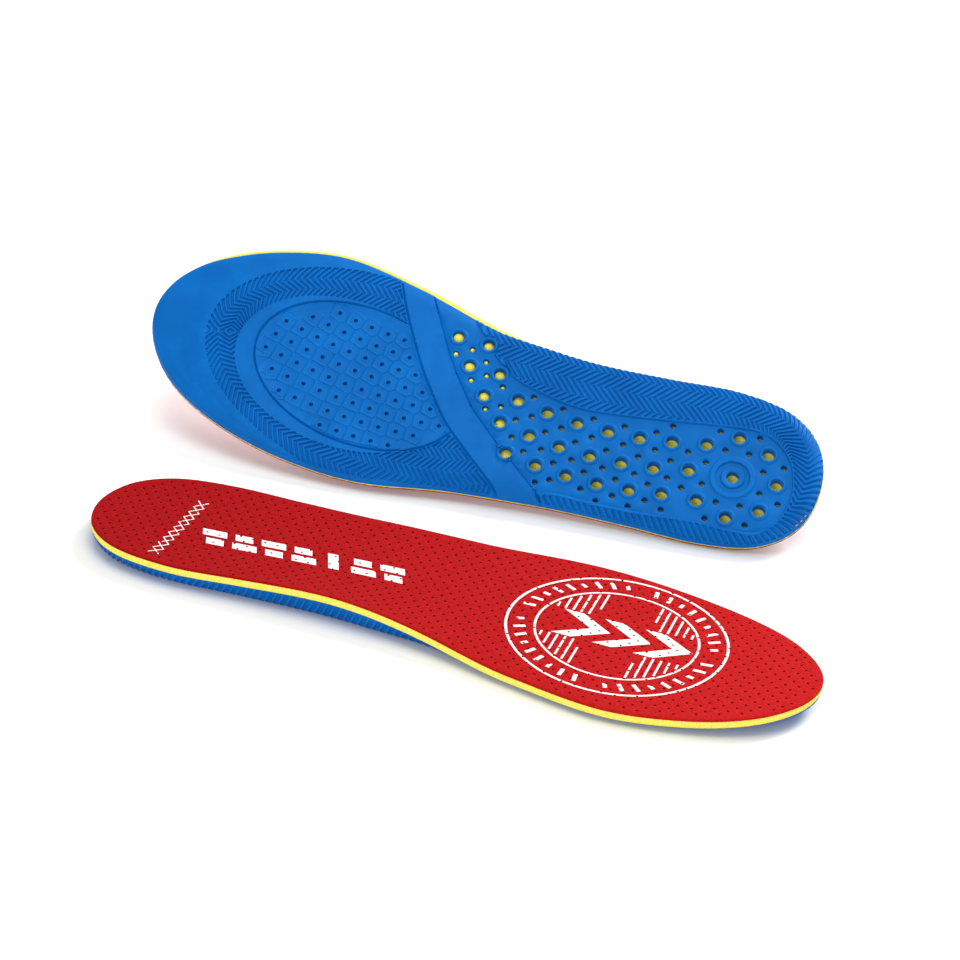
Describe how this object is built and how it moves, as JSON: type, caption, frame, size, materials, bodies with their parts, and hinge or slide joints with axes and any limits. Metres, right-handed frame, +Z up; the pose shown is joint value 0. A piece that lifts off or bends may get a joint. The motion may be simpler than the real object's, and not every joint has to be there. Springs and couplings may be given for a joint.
{
  "type": "cushioned insole",
  "caption": "Pair of cushioned insoles: perforated knit cover, foam layer and moulded pocketed base; one lies face up, its mirror twin is turned over.",
  "frame": {"origin": "on the floor under the middle of the pair's bounding box", "axes": "+X along the pair's longest side, towards the toes of the left insole, which lies face up; +Y towards the turned-over right insole; +Z up"},
  "size_m": [0.2768, 0.2332, 0.0659],
  "materials": {
    "cover": "matt red perforated knit with white transfer prints",
    "foam": "matt yellow open-cell foam",
    "base": "satin blue moulded elastomer"
  },
  "bodies": {
    "left_heel": {"left_cover_heel": "cover", "left_foam_heel": "foam", "left_base_heel": "base"},
    "left_toe": {"left_cover_toe": "cover", "left_foam_toe": "foam", "left_base_toe": "base"},
    "right_heel": {"right_cover_heel": "cover", "right_foam_heel": "foam", "right_base_heel": "base"},
    "right_toe": {"right_cover_toe": "cover", "right_foam_toe": "foam", "right_base_toe": "base"}
  },
  "joints": [
    {"name": "left_toe_flex", "type": "hinge", "parent": "left_heel", "child": "left_toe", "pos_m": [0.04682, -0.06365, 0.0062], "axis": [-0.2656, -0.9641, 0], "range_deg": [0, 45], "stiffness_Nm_per_rad": 0.2},
    {"name": "right_lift", "type": "slide", "parent": "left_heel", "child": "right_heel", "axis": [0, 0, 1], "range_m": [0, 0.1]},
    {"name": "right_toe_flex", "type": "hinge", "parent": "right_heel", "child": "right_toe", "pos_m": [-0.04943, 0.07087, 0.03748], "axis": [0.1986, 0.7626, 0.6157], "range_deg": [0, 30], "stiffness_Nm_per_rad": 0.2}
  ]
}
